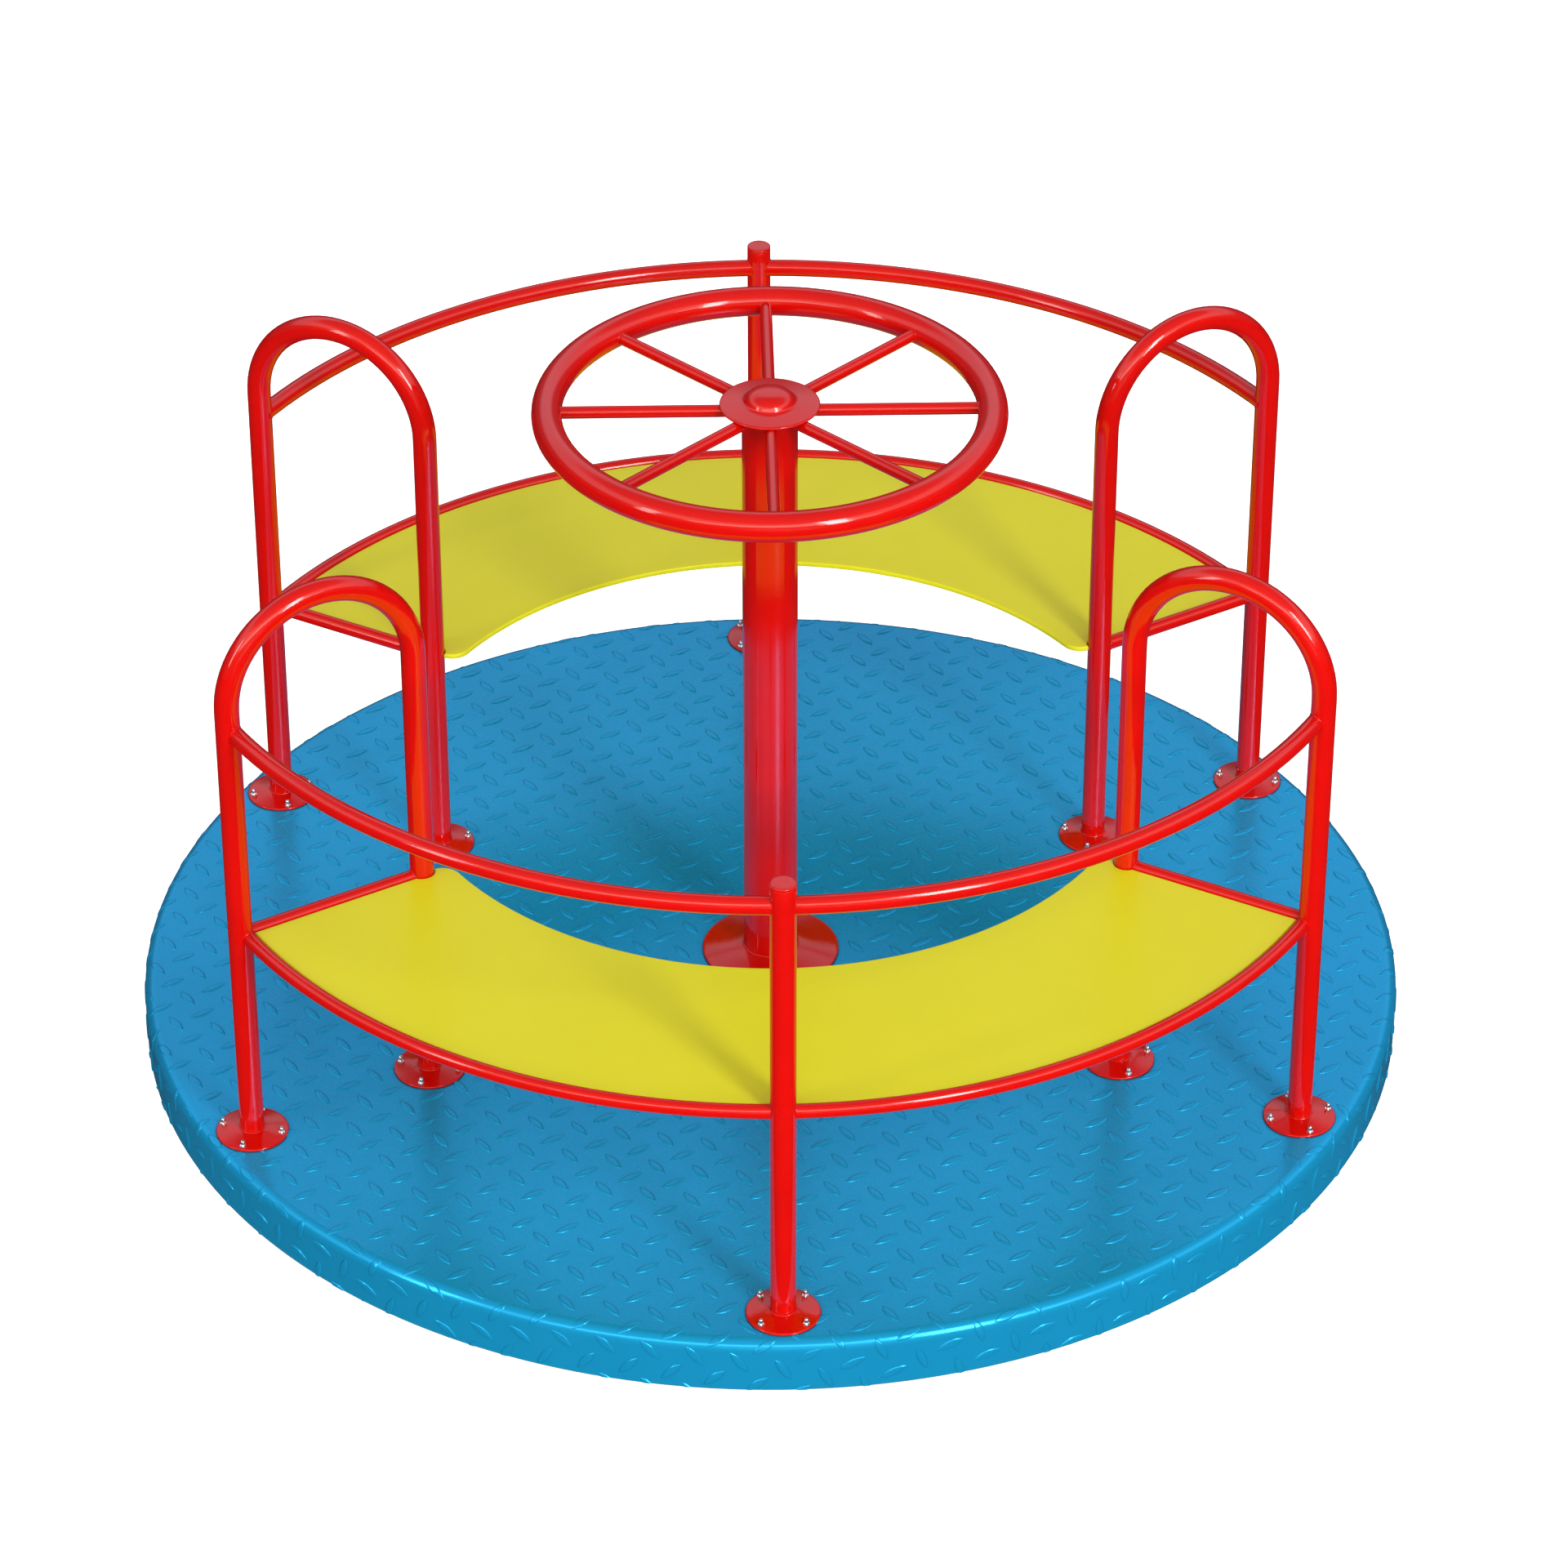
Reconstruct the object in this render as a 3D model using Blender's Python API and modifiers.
"""Playground merry-go-round with two curved bench seats and a fixed centre hand wheel.

Frame: +Z up, metres.  The origin is on the spin axis at the underside of the
ground base plate.  Front is -Y and left is -X.  The fixed group is the base
plate, spindle, column and hand wheel.  The treadplate platform with its hoops,
rails and seats turns round it on two tapered roller bearings.
"""
import bpy
import bmesh
from math import pi, sin, cos, tan, radians, hypot, asin, sqrt
from mathutils import Matrix

for old in list(bpy.data.objects):
    bpy.data.objects.remove(old, do_unlink=True)

# ------------------------------------------------------- shared dimensions
GAP = 0.0003              # clearance between touching pieces
TURN = 24                 # usual number of steps of a turned part

DECK_R = 0.900            # platform radius
DECK_TOP = 0.1585         # top of the treadplate above the ground
SHEET = 0.004             # treadplate thickness

HOOP_TUBE_R = 0.0169
HOOP_WALL = 0.0026        # tube wall of hoops and posts
HOOP_OUT = 0.8369         # radius at which the outer legs stand
HOOP_IN = 0.5584          # radius at which the inner legs stand
HOOP_ANGLE = radians(60)  # hoops stand 60 degrees either side of the posts

POST_R = 0.8337           # radius at which the two posts stand
POST_TUBE_R = 0.0173

RAIL_R = 0.8312           # radius of the curved rails
RAIL_WALL = 0.0020
RAIL_STEPS = 7            # straight steps in each 60 degree rail
SEAT_Z = 0.33165          # seat rail axis above the deck
SEAT_TUBE_R = 0.0100

FLANGE_T = 0.003          # foot flanges and column flange
FLANGE_BOTTOM = DECK_TOP + GAP
FLANGE_TOP = FLANGE_BOTTOM + FLANGE_T
BOLT_OFF = 0.030          # bolts at +-30 mm both ways from the foot centre
STUD_R = 0.0040
STUD_HOLE_R = STUD_R + 0.0008

STRIP_T = 0.005           # stud strips, under the deck
STRIP_TOP = DECK_TOP - SHEET - GAP
STRIP_BOTTOM = STRIP_TOP - STRIP_T
FRAME_TOP = STRIP_BOTTOM - GAP
FRAME_H = 0.040           # height of the underframe arms and hub ring
FRAME_BOTTOM = FRAME_TOP - FRAME_H

BASE_T = 0.012            # ground base plate thickness
SHAFT_R = 0.0300          # bore of the pieces on the spindle
LOWER_BRG = 0.0363        # underside of the lower bearing
UPPER_BRG = 0.1063        # underside of the upper bearing
BRG_W = 0.022
BRG_OUT = 0.0500
LOWER_BRG_TOP = LOWER_BRG + BRG_W
UPPER_BRG_TOP = UPPER_BRG + BRG_W

# -------------------------------------------------------------- materials
RED = dict(rgb=(0.72, 0.010, 0.006), roughness=0.22, metallic=0.0)
YELLOW = dict(rgb=(0.66, 0.60, 0.035), roughness=0.42, metallic=0.0)
BLUE = dict(rgb=(0.020, 0.26, 0.52), roughness=0.32, metallic=0.15)
ZINC = dict(rgb=(0.62, 0.63, 0.65), roughness=0.28, metallic=1.0)
STEEL = dict(rgb=(0.42, 0.43, 0.45), roughness=0.30, metallic=1.0)
PRIMER = dict(rgb=(0.055, 0.060, 0.065), roughness=0.55, metallic=0.2)
RUBBER = dict(rgb=(0.012, 0.012, 0.012), roughness=0.70, metallic=0.0)


def material(name, rgb, roughness, metallic):
    mat = bpy.data.materials.new(name)
    mat.use_nodes = True
    shader = mat.node_tree.nodes["Principled BSDF"]
    shader.inputs["Base Color"].default_value = (*rgb, 1.0)
    shader.inputs["Roughness"].default_value = roughness
    shader.inputs["Metallic"].default_value = metallic
    mat.diffuse_color = (*rgb, 1.0)
    return mat


# ---------------------------------------------------------------- helpers
# Every builder takes a look.  With look=None the object is a Boolean operand:
# hidden from renders, without a material, and kept apart from the parts.
parts = bpy.data.collections.new("merry_go_round")
tools = bpy.data.collections.new("cutters")
bpy.context.scene.collection.children.link(parts)
bpy.context.scene.collection.children.link(tools)


def add(name, mesh, look):
    ob = bpy.data.objects.new(name, mesh)
    if look:
        parts.objects.link(ob)
        mesh.materials.append(material(name + "_mat", **look))
    else:
        tools.objects.link(ob)
        ob.hide_render = True
        ob.display_type = 'WIRE'
    return ob


def add_bmesh(name, bm, look):
    mesh = bpy.data.meshes.new(name)
    bm.to_mesh(mesh)
    bm.free()
    return add(name, mesh, look)


def frustum(name, bottom_r, top_r, height, sides, matrix, look=None):
    bm = bmesh.new()
    bmesh.ops.create_cone(bm, cap_ends=True, segments=sides, radius1=bottom_r,
                          radius2=top_r, depth=height, matrix=matrix)
    return add_bmesh(name, bm, look)


def cylinder(name, radius, bottom, top, sides, centre, look=None):
    """Upright cylinder about a centre given as x, y."""
    place = Matrix.Translation((*centre, (bottom + top) / 2))
    return frustum(name, radius, radius, top - bottom, sides, place, look)


def bar(name, size, centre, turn, look=None):
    """Box of the given size, its centre placed and then turned about Z."""
    bm = bmesh.new()
    bmesh.ops.create_cube(bm, size=1.0,
                          matrix=Matrix.Rotation(turn, 4, 'Z')
                          @ Matrix.Translation(centre)
                          @ Matrix.Diagonal((*size, 1.0)))
    return add_bmesh(name, bm, look)


def rectangle(outer, inner, bottom, top):
    """Lathe profile of a plain ring."""
    return [(outer, top), (outer, bottom), (inner, bottom), (inner, top)]


def lathe(name, profile, look, steps=TURN, closed=True):
    """Turn a profile of (radius, z) about Z.  It runs down its outer side, top to bottom."""
    mesh = bpy.data.meshes.new(name)
    count = len(profile)
    edges = [(i, i + 1) for i in range(count - 1)]
    if closed:
        edges.append((count - 1, 0))
    mesh.from_pydata([(r, 0.0, z) for r, z in profile], edges, [])
    ob = add(name, mesh, look)
    screw = ob.modifiers.new("turn", 'SCREW')
    screw.angle = 2 * pi
    screw.steps = steps
    screw.render_steps = steps
    screw.use_merge_vertices = True
    screw.merge_threshold = 0.00001
    screw.use_smooth_shade = False
    return ob


def boolean(ob, operation):
    mod = ob.modifiers.new(operation.lower(), 'BOOLEAN')
    mod.operation = operation
    mod.solver = 'EXACT'
    return mod


def combine(ob, group, operation='DIFFERENCE'):
    """One Boolean against a collection that takes over the group of operands."""
    operands = bpy.data.collections.new(ob.name + "_" + operation.lower())
    tools.children.link(operands)
    for operand in group:
        tools.objects.unlink(operand)
        operands.objects.link(operand)
    mod = boolean(ob, operation)
    mod.operand_type = 'COLLECTION'
    mod.collection = operands


def curve_mesh(name, curve, points, cyclic, solid, lift=0.0):
    """Mesh of a curve given one polyline, raised by lift; a solid has its normals set."""
    spline = curve.splines.new('POLY')
    spline.points.add(len(points) - 1)
    for spline_point, point in zip(spline.points, points):
        spline_point.co = (*point, 1.0)
    spline.use_cyclic_u = cyclic
    temp = bpy.data.objects.new(curve.name, curve)
    tools.objects.link(temp)
    bpy.context.view_layer.update()
    depsgraph = bpy.context.evaluated_depsgraph_get()
    mesh = bpy.data.meshes.new_from_object(temp.evaluated_get(depsgraph))
    mesh.name = name
    bm = bmesh.new()
    bm.from_mesh(mesh)
    bmesh.ops.remove_doubles(bm, verts=bm.verts, dist=1e-6)
    bmesh.ops.translate(bm, verts=bm.verts, vec=(0, 0, lift))
    if solid:
        bmesh.ops.recalc_face_normals(bm, faces=bm.faces)
    bm.to_mesh(mesh)
    bm.free()
    bpy.data.objects.remove(temp, do_unlink=True)
    return mesh


def sweep(name, points, radius, sides, look, wall=None, cyclic=False):
    """Round tube along a polyline: solid, or with open ends and a wall."""
    curve = bpy.data.curves.new(name + "_path", 'CURVE')
    curve.dimensions = '3D'
    curve.bevel_depth = radius
    curve.bevel_resolution = (sides - 4) // 2
    curve.use_fill_caps = wall is None and not cyclic
    curve.twist_mode = 'MINIMUM'
    ob = add(name, curve_mesh(name, curve, points, cyclic, solid=wall is None), look)
    if wall:
        solidify = ob.modifiers.new("wall", 'SOLIDIFY')
        solidify.thickness = wall
        solidify.offset = -1.0
        solidify.use_even_offset = True
    return ob


def plate(name, outline, bottom, top, look):
    """Flat plate from a closed outline of (x, y)."""
    curve = bpy.data.curves.new(name + "_outline", 'CURVE')
    curve.dimensions = '2D'
    curve.fill_mode = 'BOTH'
    curve.extrude = (top - bottom) / 2
    points = [(x, y, 0.0) for x, y in outline]
    mesh = curve_mesh(name, curve, points, cyclic=True, solid=True, lift=(bottom + top) / 2)
    return add(name, mesh, look)


# ----------------------------------------------------------- places on deck
END_Y = {"front": -1, "back": 1}
SIDE_X = {"left": -1, "right": 1}
HOOPS = {}       # (x, y) unit vector of the radial plane of each hoop
FEET = {}        # (x, y) of the foot of every post and hoop leg
ARM_TURN = {}    # direction of each underframe arm, as an angle from +X
for end, end_y in END_Y.items():
    FEET[end + "_post"] = (0.0, end_y * POST_R)
    ARM_TURN[end + "_post"] = end_y * pi / 2
    for side, side_x in SIDE_X.items():
        hoop = f"{end}_{side}"
        out_x, out_y = side_x * sin(HOOP_ANGLE), end_y * cos(HOOP_ANGLE)
        HOOPS[hoop] = (out_x, out_y)
        FEET[hoop + "_outer"] = (out_x * HOOP_OUT, out_y * HOOP_OUT)
        FEET[hoop + "_inner"] = (out_x * HOOP_IN, out_y * HOOP_IN)
        ARM_TURN[hoop] = (0 if side_x > 0 else pi) + end_y * side_x * (pi / 2 - HOOP_ANGLE)


def bolt_points(foot):
    """Four bolts in a square that is lined up with the foot's own radius."""
    x, y = FEET[foot]
    out_x, out_y = x / hypot(x, y), y / hypot(x, y)
    return [(x + BOLT_OFF * (along * out_x - across * out_y),
             y + BOLT_OFF * (along * out_y + across * out_x))
            for along in (-1, 1) for across in (-1, 1)]


def bolt_holes(prefix, foot):
    """Cutters for the four bolts of a foot, through the deck and the foot flange."""
    reach = 0.02
    return [cylinder(f"{prefix}_{i}", STUD_HOLE_R, DECK_TOP - reach, DECK_TOP + reach, 6, point)
            for i, point in enumerate(bolt_points(foot))]


def leg_cutter(name, foot, radius):
    """Cutter that clears an upright tube, measured on its flats."""
    sides = 16
    return cylinder(name, (radius + GAP) / cos(pi / sides), DECK_TOP + 0.2, DECK_TOP + 0.8,
                    sides, FEET[foot])


# ------------------------------------------------- fixed: base and spindle
BASE_R = 0.200
BASE_BORE = 0.020
ANCHORS = 6
ANCHOR_CIRCLE_R = 0.170
ANCHOR_HOLE_R = 0.009

SPINDLE_TOP = 0.400
SPIGOT_R = 0.0298         # inside the column
SPIGOT_BOTTOM = 0.160
SEAT_TOP = 0.1585         # top of the bearing seat
SHOULDER_R = 0.0360       # carries the lower bearing
FOOT_R = 0.0750
FOOT_TOP = 0.0265


def ground_base_plate():
    base = lathe("ground_base_plate", rectangle(BASE_R, BASE_BORE, 0.0, BASE_T), PRIMER)
    holes = []
    for i in range(ANCHORS):
        angle = 2 * pi * i / ANCHORS
        centre = (ANCHOR_CIRCLE_R * cos(angle), ANCHOR_CIRCLE_R * sin(angle))
        holes.append(cylinder(f"anchor_hole_{i}", ANCHOR_HOLE_R, -0.01, 0.03, 6, centre))
    combine(base, holes)


def spindle():
    """Foot flange, shoulder, bearing seat and the spigot inside the column."""
    seat_r = SHAFT_R - GAP
    shoulder_z = LOWER_BRG - GAP
    foot_z = BASE_T + GAP
    lathe("spindle",
          [(0.0, SPINDLE_TOP), (SPIGOT_R - 0.002, SPINDLE_TOP), (SPIGOT_R, SPINDLE_TOP - 0.003),
           (SPIGOT_R, SPIGOT_BOTTOM), (seat_r, SEAT_TOP), (seat_r, shoulder_z),
           (SHOULDER_R, shoulder_z), (SHOULDER_R, FOOT_TOP), (FOOT_R, FOOT_TOP),
           (FOOT_R, foot_z), (0.0, foot_z)], STEEL, closed=False)


# --------------------------------------------------------- tapered bearings
TAPER = radians(12)
SLOPE = tan(TAPER)
CONE_SMALL_R = 0.0345     # cone race radius at the small end
ROLLERS = 8
ROLLER_R = 0.0036         # mean roller radius
ROLLER_FLARE = 0.0002     # each roller end differs this much from the mean
ROLLER_LEN = 0.0158
CAGE_HALF = 0.0085        # half length of the cage between its nominal ends
CAGE_LIP = 0.0002         # end rings reach this far beyond those ends,
CAGE_RING_W = 0.0016      # and this far within
CAGE_HALF_T = 0.0012      # half the radial thickness of the end rings
CAGE_STEPS = 16
RACE_STEP = (ROLLER_R + GAP) / cos(TAPER)
ROLLER_MID = CONE_SMALL_R + SLOPE * BRG_W / 2 + RACE_STEP
CUP_MID = ROLLER_MID + RACE_STEP
RACE_FLAT = cos(pi / TURN)                     # cup race is measured on the flats


def bearing(prefix, bottom, flipped):
    """Cone, cup and roller cage.  The small end is at the top unless flipped."""
    sign = -1 if flipped else 1

    def placed(profile):
        points = [(r, bottom + (BRG_W - t if flipped else t)) for r, t in profile]
        return points[::-1] if flipped else points

    def cage_ring(low, high):
        mid_r = ROLLER_MID - SLOPE * ((low + high) / 2 - BRG_W / 2)
        return placed(rectangle(mid_r + CAGE_HALF_T, mid_r - CAGE_HALF_T, low, high))

    cup_small = (CUP_MID - SLOPE * BRG_W / 2) / RACE_FLAT
    cup_large = (CUP_MID + SLOPE * BRG_W / 2) / RACE_FLAT
    lathe(prefix + "_bearing_cone",
          placed([(CONE_SMALL_R, BRG_W), (CONE_SMALL_R + SLOPE * BRG_W, 0.0),
                  (SHAFT_R, 0.0), (SHAFT_R, BRG_W)]), STEEL)
    lathe(prefix + "_bearing_cup",
          placed([(BRG_OUT, BRG_W), (BRG_OUT, 0.0), (cup_large, 0.0), (cup_small, BRG_W)]),
          STEEL)

    # cage: two end rings joined by the rollers
    large_end = BRG_W / 2 - CAGE_HALF
    small_end = BRG_W / 2 + CAGE_HALF
    cage = lathe(prefix + "_bearing_cage",
                 cage_ring(large_end - CAGE_LIP, large_end + CAGE_RING_W), STEEL, CAGE_STEPS)
    extra = [lathe(prefix + "_cage_ring",
                   cage_ring(small_end - CAGE_RING_W, small_end + CAGE_LIP), None, CAGE_STEPS)]
    for i in range(ROLLERS):
        place = (Matrix.Rotation(2 * pi * (i + 0.5) / ROLLERS, 4, 'Z')
                 @ Matrix.Translation((ROLLER_MID, 0, bottom + BRG_W / 2))
                 @ Matrix.Rotation(-sign * TAPER, 4, 'Y'))
        extra.append(frustum(f"{prefix}_roller_{i}", ROLLER_R + sign * ROLLER_FLARE,
                             ROLLER_R - sign * ROLLER_FLARE, ROLLER_LEN, 6, place))
    combine(cage, extra, 'UNION')


# ------------------------------------------- fixed: spacer, washer and nut
SPACER_R = 0.0340
NUT_R = 0.0385            # lock nut and its washer
WASHER_BOTTOM = UPPER_BRG_TOP + GAP
WASHER_TOP = WASHER_BOTTOM + 0.002
NUT_BOTTOM = WASHER_TOP + GAP
NUT_TOP = NUT_BOTTOM + 0.012
NUT_SLOTS = 4
NUT_SLOT_SIZE = (0.006, 0.006, 0.02)


def spindle_hardware():
    lathe("bearing_spacer",
          rectangle(SPACER_R, SHAFT_R, LOWER_BRG_TOP + GAP, UPPER_BRG - GAP), STEEL)
    lathe("lock_washer", rectangle(NUT_R, SHAFT_R, WASHER_BOTTOM, WASHER_TOP), ZINC)
    nut = lathe("bearing_lock_nut", rectangle(NUT_R, SHAFT_R, NUT_BOTTOM, NUT_TOP), ZINC)
    combine(nut, [bar(f"nut_slot_{i}", NUT_SLOT_SIZE, (NUT_R, 0, NUT_TOP),
                      2 * pi * i / NUT_SLOTS) for i in range(NUT_SLOTS)])


# ------------------------------------------- fixed: column and hand wheel
COLUMN_R = 0.0385
COLUMN_BORE = 0.0301
COL_FLANGE_R = 0.0978
COL_FLANGE_GAP = 0.0010   # running gap between fixed flange and deck

WHEEL_Z = DECK_TOP + 0.8968   # plane of the hand wheel
WHEEL_R = 0.3037              # centre line of the rim tube
WHEEL_TUBE_R = 0.0208
RIM_STEPS = 32
RIM_SIDES = 10
SPOKES = 8
SPOKE_R = 0.0086
SPOKE_START = 0.030
SPOKE_END = WHEEL_R - WHEEL_TUBE_R * 0.55   # runs into the rim tube, then is cut back
COLUMN_TOP = WHEEL_Z - SPOKE_R - 0.0010

HUB_BORE = 0.0200
HUB_SPIGOT_LEN = 0.040    # reach of the hub below the column top
DISC_R = 0.0687
DISC_TOP = DECK_TOP + 0.9096
DISC_BOTTOM = DISC_TOP - 0.004
DISC_CHAMFER = 0.001
# dome cap: radius, height above its flat underside
DOME = [(0.0, 0.0125), (0.0150, 0.0122), (0.0260, 0.0108),
        (0.0330, 0.0080), (0.0372, 0.0040), (0.0385, 0.0)]


def column():
    lathe("column_tube", rectangle(COLUMN_R, COLUMN_BORE, NUT_TOP + GAP, COLUMN_TOP), RED)
    bottom = DECK_TOP + COL_FLANGE_GAP
    lathe("column_flange",
          rectangle(COL_FLANGE_R, COLUMN_R + GAP, bottom, bottom + FLANGE_T), RED)


def wheel_rim(name, radius, look):
    angles = [2 * pi * (i + 0.5) / RIM_STEPS for i in range(RIM_STEPS)]
    points = [(WHEEL_R * cos(a), WHEEL_R * sin(a), WHEEL_Z) for a in angles]
    return sweep(name, points, radius, RIM_SIDES, look, cyclic=True)


def wheel_spokes():
    """Hub with a spigot in the column bore, and the spokes joined to it."""
    spigot_r = COLUMN_BORE * cos(pi / TURN) - GAP
    hub_top = DISC_BOTTOM - GAP
    ledge = COLUMN_TOP + GAP
    spigot_end = COLUMN_TOP - HUB_SPIGOT_LEN
    spokes = lathe("wheel_spokes",
                   [(COLUMN_R, hub_top), (COLUMN_R, ledge), (spigot_r, ledge),
                    (spigot_r, spigot_end), (HUB_BORE, spigot_end), (HUB_BORE, hub_top)], RED)
    # half a step round, so that the spokes leave from its flats
    spokes.data.transform(Matrix.Rotation(pi / TURN, 4, 'Z'))
    arms = []
    for i in range(SPOKES):
        angle = 2 * pi * i / SPOKES
        points = [(r * cos(angle), r * sin(angle), WHEEL_Z) for r in (SPOKE_START, SPOKE_END)]
        arms.append(sweep(f"spoke_{i}", points, SPOKE_R, 8, None))
    combine(spokes, arms, 'UNION')
    # each spoke ends on the rim tube
    boolean(spokes, 'DIFFERENCE').object = wheel_rim("rim_clearance", WHEEL_TUBE_R + GAP, None)


def wheel_hub_covers():
    lathe("wheel_hub_disc",
          [(0.0, DISC_TOP), (DISC_R - DISC_CHAMFER, DISC_TOP), (DISC_R, DISC_TOP - DISC_CHAMFER),
           (DISC_R, DISC_BOTTOM), (0.0, DISC_BOTTOM)], RED, steps=32, closed=False)
    bottom = DISC_TOP + GAP
    lathe("wheel_dome_cap", [(r, bottom + height) for r, height in DOME] + [(0.0, bottom)],
          RED, closed=False)


# ---------------------------------------- rotating: deck, flanges, strips
SKIRT = 0.0785            # height of the skirt, top face to lower edge
EDGE_R = 0.011            # rounding between top and skirt
DECK_HOLE_R = 0.047       # hole for the fixed column
FLANGE_R = 0.050          # foot flanges
STRIP_W = 0.094
STRIP_START = 0.150       # radii of the two strip ends
STRIP_END = 0.884
NUT_HEAD_R = 0.0062       # foot nuts, one piece with their studs
NUT_HEAD_H = 0.0065


def deck_plate():
    """Treadplate pan with a rounded edge and a skirt."""
    def edge(radius, degrees):
        return [(DECK_R - EDGE_R + radius * sin(radians(a)),
                 DECK_TOP - EDGE_R + radius * cos(radians(a))) for a in degrees]

    skirt_z = DECK_TOP - SKIRT
    deck = lathe("deck_plate",
                 edge(EDGE_R, (0, 45, 90)) + [(DECK_R, skirt_z), (DECK_R - SHEET, skirt_z)]
                 + edge(EDGE_R - SHEET, (90, 0))
                 + [(DECK_HOLE_R, DECK_TOP - SHEET), (DECK_HOLE_R, DECK_TOP)], BLUE, steps=48)
    combine(deck, [hole for foot in FEET for hole in bolt_holes("deck_hole_" + foot, foot)])


def foot_flange(foot):
    flange = cylinder(foot + "_foot_flange", FLANGE_R, FLANGE_BOTTOM, FLANGE_TOP, 16,
                      FEET[foot], RED)
    combine(flange, bolt_holes(foot + "_hole", foot))


def stud_strip(arm):
    """Flat bar on an underframe arm, with the foot studs and their nuts joined to it."""
    strip = bar(arm + "_stud_strip", (STRIP_END - STRIP_START, STRIP_W, STRIP_T),
                ((STRIP_END + STRIP_START) / 2, 0, (STRIP_BOTTOM + STRIP_TOP) / 2),
                ARM_TURN[arm], ZINC)
    nut_z = FLANGE_TOP + GAP
    stud_z = STRIP_BOTTOM + 0.001
    profile = [(0.0, nut_z + NUT_HEAD_H), (NUT_HEAD_R, nut_z + NUT_HEAD_H),
               (NUT_HEAD_R, nut_z), (STUD_R, nut_z), (STUD_R, stud_z), (0.0, stud_z)]
    studs = []
    for foot in FEET:
        if not foot.startswith(arm):
            continue
        for i, (x, y) in enumerate(bolt_points(foot)):
            stud = lathe(f"{foot}_stud_{i}", profile, None, steps=6, closed=False)
            stud.location = (x, y, 0)
            studs.append(stud)
    combine(strip, studs, 'UNION')


# ------------------------------------------- rotating: hoops, posts, rails
HOOP_SPRING = 0.6921      # start of the bend above the deck
HOOP_BEND_STEPS = 8
POST_TOP = DECK_TOP + 0.6948
CAP_T = 0.0040            # post cap above the tube end
CAP_CHAMFER = 0.0016
CAP_DEPTH = 0.016         # whole height of the cap with its plug
# name, axis above the deck, tube radius
CURVED_RAILS = [("handrail", 0.6580, 0.0125), ("seat_rail", SEAT_Z, SEAT_TUBE_R)]
RAIL_SIDES = 8
SIDE_CUT_LEN = 0.060
SIDE_CUT_H = 0.040


def hoop_tube(hoop):
    """Inverted U tube in a radial plane."""
    mid_r, bend_r = (HOOP_OUT + HOOP_IN) / 2, (HOOP_OUT - HOOP_IN) / 2
    bottom = FLANGE_TOP + GAP
    path = [(HOOP_OUT, bottom)]
    for i in range(HOOP_BEND_STEPS + 1):
        angle = pi * i / HOOP_BEND_STEPS
        path.append((mid_r + bend_r * cos(angle), DECK_TOP + HOOP_SPRING + bend_r * sin(angle)))
    path.append((HOOP_IN, bottom))
    out_x, out_y = HOOPS[hoop]
    sweep(hoop + "_hoop", [(r * out_x, r * out_y, z) for r, z in path],
          HOOP_TUBE_R, 10, RED, HOOP_WALL)


def post(end):
    """Upright tube, and a cap with a tapered plug inside the tube."""
    foot = FEET[end + "_post"]
    sweep(end + "_post", [(*foot, FLANGE_TOP + GAP), (*foot, POST_TOP - CAP_T - GAP)],
          POST_TUBE_R, 12, RED, HOOP_WALL)
    bore = POST_TUBE_R - HOOP_WALL
    cap = lathe(end + "_post_cap",
                [(0.0, POST_TOP), (POST_TUBE_R - CAP_CHAMFER, POST_TOP),
                 (POST_TUBE_R, POST_TOP - CAP_CHAMFER), (POST_TUBE_R, POST_TOP - CAP_T),
                 (bore - 0.0010, POST_TOP - CAP_T), (bore - 0.0014, POST_TOP - CAP_DEPTH),
                 (0.0, POST_TOP - CAP_DEPTH)], RED, steps=12, closed=False)
    cap.location = (*foot, 0)


def curved_rail(end, side, kind, height, tube_r):
    """Half rail from a post to the outer leg of a hoop."""
    hoop = f"{end}_{side}"
    name = f"{hoop}_{kind}"
    angles = [SIDE_X[side] * HOOP_ANGLE * i / RAIL_STEPS for i in range(RAIL_STEPS + 1)]
    points = [(RAIL_R * sin(a), END_Y[end] * RAIL_R * cos(a), DECK_TOP + height)
              for a in angles]
    rail = sweep(name, points, tube_r, RAIL_SIDES, RED, RAIL_WALL)
    cuts = [leg_cutter(name + "_post_cut", end + "_post", POST_TUBE_R),
            leg_cutter(name + "_leg_cut", hoop + "_outer", HOOP_TUBE_R)]
    if kind == "seat_rail":
        # room for the side rail that meets the same leg
        cuts.append(bar(name + "_side_cut", (SIDE_CUT_LEN, 2 * (SEAT_TUBE_R + GAP), SIDE_CUT_H),
                        (HOOP_OUT - SIDE_CUT_LEN / 2, 0, DECK_TOP + SEAT_Z), ARM_TURN[hoop]))
    combine(rail, cuts)


def side_rail(hoop):
    """Short rail between the two legs of a hoop."""
    name = hoop + "_side_rail"
    inner, outer = hoop + "_inner", hoop + "_outer"
    rail = sweep(name, [(*FEET[foot], DECK_TOP + SEAT_Z) for foot in (inner, outer)],
                 SEAT_TUBE_R, RAIL_SIDES, RED, RAIL_WALL)
    combine(rail, [leg_cutter(name + "_in_cut", inner, HOOP_TUBE_R),
                   leg_cutter(name + "_out_cut", outer, HOOP_TUBE_R)])


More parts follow.
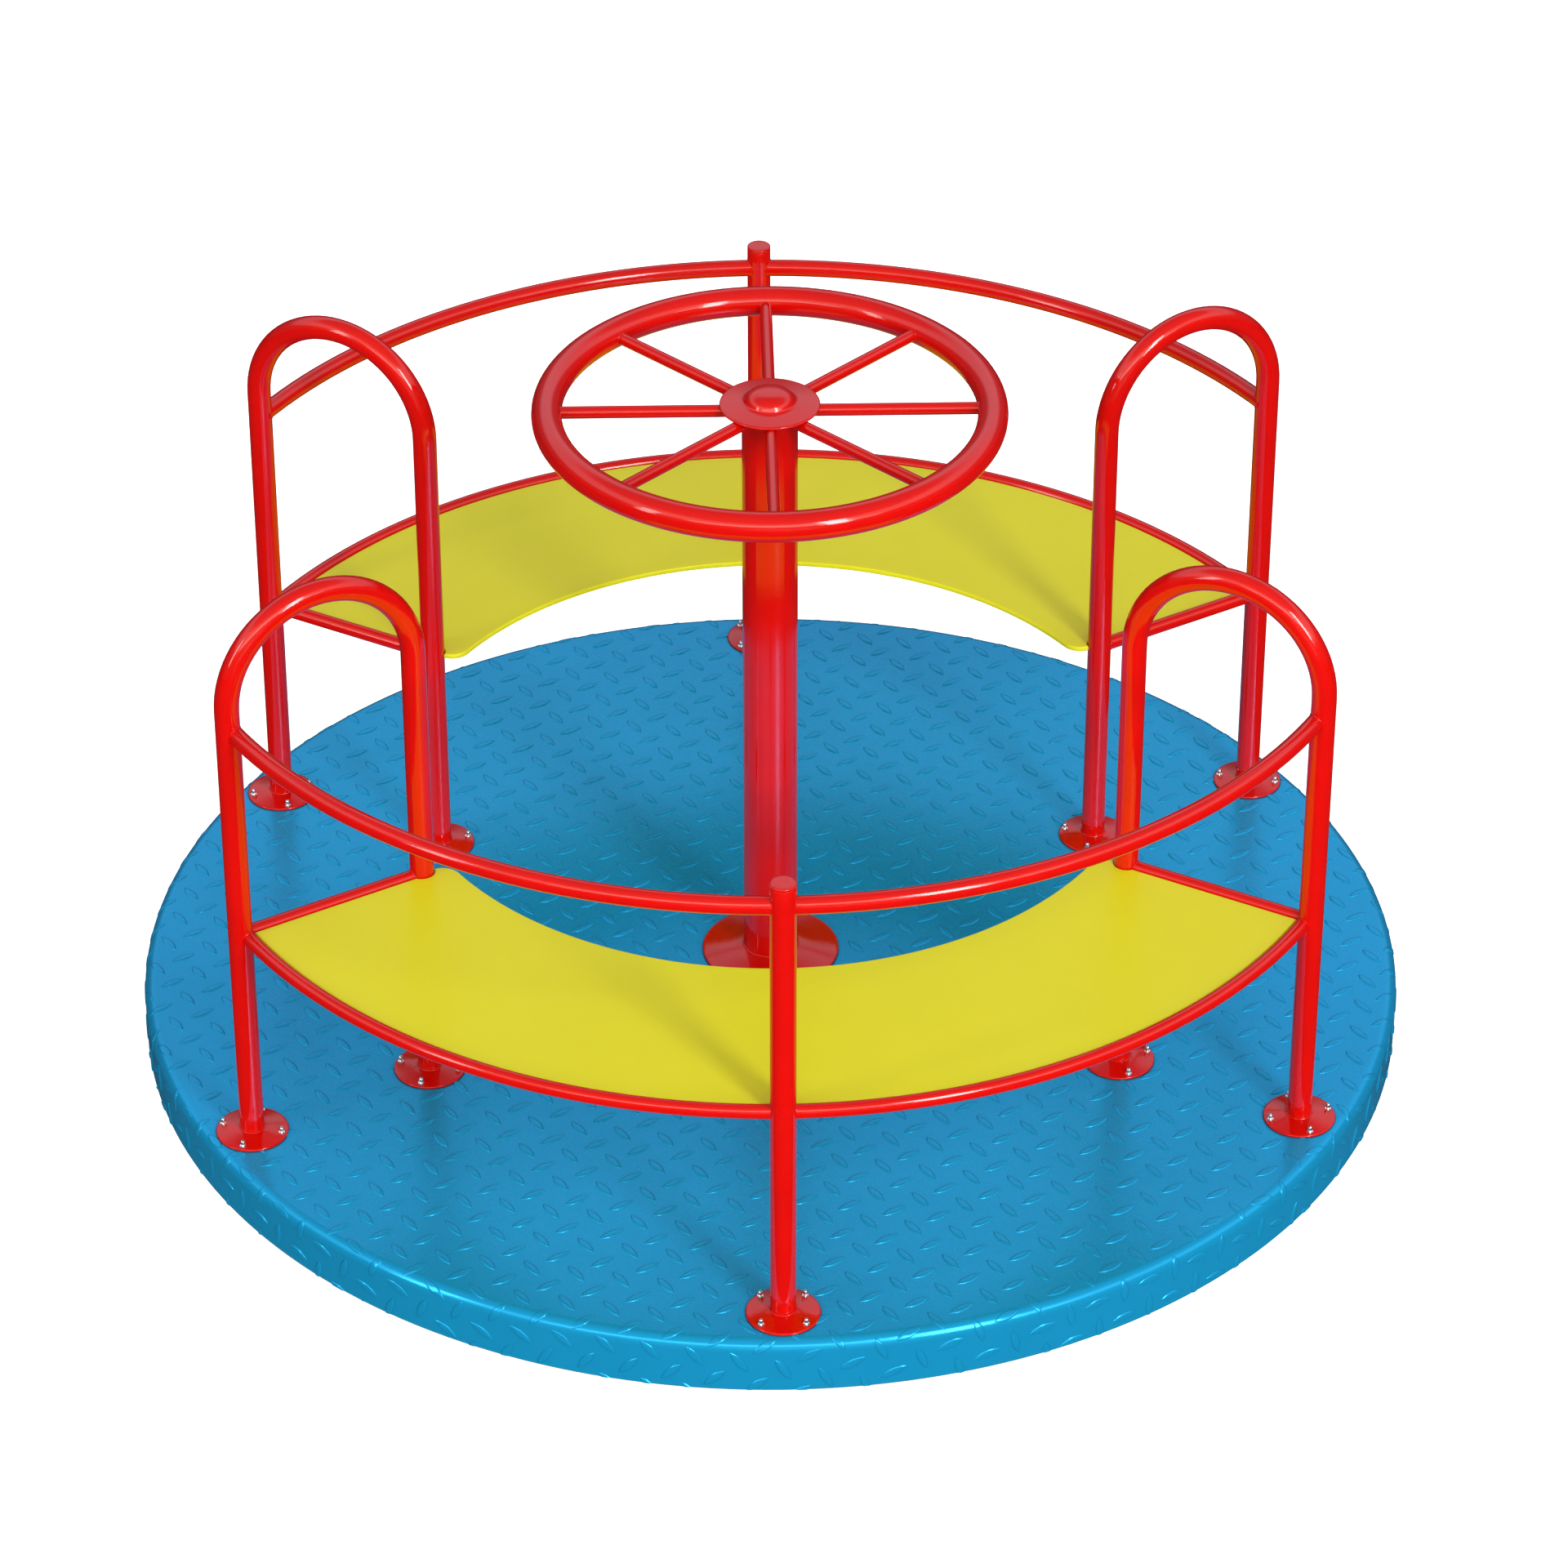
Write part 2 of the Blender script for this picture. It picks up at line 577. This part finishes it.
# --------------------------------------------------------- rotating: seats
SEAT_T = 0.008
SEAT_IN = 0.517           # radius of the inner edge
SEAT_OUT = RAIL_R - SEAT_TUBE_R - 0.0007
SEAT_SIDE = SEAT_TUBE_R + 0.0008   # seat end edge, off the radial plane
SEAT_TIP = 0.0025         # the same inside the inner leg
SEAT_STEP_R = HOOP_IN + 0.004      # radius at which the end edge steps over
SEAT_CORNER = 0.028       # rounding of the inner corners
CORNER_STEPS = 5
SEAT_LEG_GAP = 0.0004     # further room round the post and the legs


def seat_outline(end_y):
    """Flat ring sector; the half on +X is worked out towards +Y, then mirrored."""
    def place(radius, off):
        """Point at a radius along the hoop plane, moved off it towards the post."""
        return (radius * sin(HOOP_ANGLE) - off * cos(HOOP_ANGLE),
                radius * cos(HOOP_ANGLE) + off * sin(HOOP_ANGLE))

    def on_arc(radius, angle):
        return radius * sin(angle), radius * cos(angle)

    half = [on_arc(SEAT_OUT, HOOP_ANGLE * i / RAIL_STEPS) for i in range(RAIL_STEPS)]
    # the last corner lies on the same straight step as the rail beside it
    end_angle = HOOP_ANGLE - asin(SEAT_SIDE / SEAT_OUT)
    end_r = (SEAT_OUT * cos(HOOP_ANGLE / RAIL_STEPS / 2)
             / cos(end_angle - HOOP_ANGLE * (RAIL_STEPS - 0.5) / RAIL_STEPS))
    half.append(on_arc(end_r, end_angle))
    half.append(place(SEAT_STEP_R, SEAT_SIDE))
    half.append(place(SEAT_STEP_R, SEAT_TIP))
    # rounded tip: circle tangent to the tip edge and to the inner arc
    corner_off = SEAT_TIP + SEAT_CORNER
    corner_r = sqrt((SEAT_IN + SEAT_CORNER) ** 2 - corner_off ** 2)
    tangent = asin(corner_off / (SEAT_IN + SEAT_CORNER))
    for i in range(CORNER_STEPS + 1):
        angle = (pi / 2 - tangent) * i / CORNER_STEPS
        half.append(place(corner_r - SEAT_CORNER * sin(angle),
                          corner_off - SEAT_CORNER * cos(angle)))
    for i in range(1, RAIL_STEPS):
        half.append(on_arc(SEAT_IN, (HOOP_ANGLE - tangent) * (1 - i / RAIL_STEPS)))
    half.append((0.0, SEAT_IN))
    mirrored = [(-x, y) for x, y in reversed(half[1:-1])]
    return [(x, end_y * y) for x, y in half + mirrored]


def seat_panel(end):
    middle = DECK_TOP + SEAT_Z
    seat = plate(end + "_seat", seat_outline(END_Y[end]),
                 middle - SEAT_T / 2, middle + SEAT_T / 2, YELLOW)
    cuts = [leg_cutter(end + "_seat_post_cut", end + "_post", POST_TUBE_R + SEAT_LEG_GAP)]
    for side in SIDE_X:
        cuts.append(leg_cutter(f"{end}_{side}_seat_leg_cut", f"{end}_{side}_inner",
                               HOOP_TUBE_R + SEAT_LEG_GAP))
    combine(seat, cuts)


# ------------------------------------- rotating: underframe, housing, seals
HUB_RING_R = 0.125
HUB_RING_BORE = 0.0730
ARM_W = 0.040
ARM_START = 0.100         # radii of the two arm ends
ARM_END = 0.885
OUTER_RING_R = 0.700      # middle of the outer ring bar
OUTER_RING_T = 0.006
OUTER_RING_INSET = 0.004  # below the frame top and above its underside

HOUSING_NECK_R = 0.0725   # inside the hub ring
HOUSING_FLANGE_R = 0.1200
HOUSING_FLANGE_T = 0.010
HOUSING_R = 0.0610
HOUSING_BOTTOM = 0.0290
HOUSING_RIB_R = 0.0440    # bore between the two bearings

LOWER_SEAL_BORE = 0.0366
LOWER_SEAL_BOTTOM = 0.0300
UPPER_SEAL_BORE = 0.0392
UPPER_SEAL_BOTTOM = UPPER_BRG_TOP + 0.0010
UPPER_SEAL_H = 0.006


def deck_underframe():
    """Six arms, a hub ring and an outer ring of flat bar."""
    frame = lathe("deck_underframe",
                  rectangle(HUB_RING_R, HUB_RING_BORE, FRAME_BOTTOM, FRAME_TOP), PRIMER)
    more = [bar("arm_" + arm, (ARM_END - ARM_START, ARM_W, FRAME_H),
                ((ARM_END + ARM_START) / 2, 0, FRAME_TOP - FRAME_H / 2), turn)
            for arm, turn in ARM_TURN.items()]
    more.append(lathe("outer_ring",
                      rectangle(OUTER_RING_R + OUTER_RING_T / 2, OUTER_RING_R - OUTER_RING_T / 2,
                                FRAME_BOTTOM + OUTER_RING_INSET, FRAME_TOP - OUTER_RING_INSET),
                      None, steps=36))
    combine(frame, more, 'UNION')


def hub_housing():
    """Bearing housing with a flange under the hub ring of the underframe."""
    top = FRAME_TOP - 0.001
    seat_r = BRG_OUT + GAP
    flange_top = FRAME_BOTTOM - GAP
    flange_bottom = flange_top - HOUSING_FLANGE_T
    rib_bottom = LOWER_BRG_TOP + GAP
    rib_top = UPPER_BRG - GAP
    lathe("hub_housing",
          [(HOUSING_NECK_R, top), (HOUSING_NECK_R, flange_top), (HOUSING_FLANGE_R, flange_top),
           (HOUSING_FLANGE_R, flange_bottom), (HOUSING_R, flange_bottom),
           (HOUSING_R, HOUSING_BOTTOM), (seat_r, HOUSING_BOTTOM), (seat_r, rib_bottom),
           (HOUSING_RIB_R, rib_bottom), (HOUSING_RIB_R, rib_top), (seat_r, rib_top),
           (seat_r, top)], PRIMER)


def seals():
    lathe("lower_seal",
          rectangle(BRG_OUT, LOWER_SEAL_BORE, LOWER_SEAL_BOTTOM, LOWER_BRG - GAP), RUBBER)
    lathe("upper_seal",
          rectangle(BRG_OUT, UPPER_SEAL_BORE, UPPER_SEAL_BOTTOM,
                    UPPER_SEAL_BOTTOM + UPPER_SEAL_H), RUBBER)


# ---------------------------------------------------------------- assembly
ground_base_plate()
spindle()
bearing("lower", LOWER_BRG, flipped=False)
bearing("upper", UPPER_BRG, flipped=True)
spindle_hardware()
column()
wheel_rim("wheel_rim", WHEEL_TUBE_R, RED)
wheel_spokes()
wheel_hub_covers()

deck_plate()
for foot in FEET:
    foot_flange(foot)
for arm in ARM_TURN:
    stud_strip(arm)
for hoop in HOOPS:
    hoop_tube(hoop)
    side_rail(hoop)
for end in END_Y:
    post(end)
    seat_panel(end)
    for side in SIDE_X:
        for kind, height, tube_r in CURVED_RAILS:
            curved_rail(end, side, kind, height, tube_r)
deck_underframe()
hub_housing()
seals()
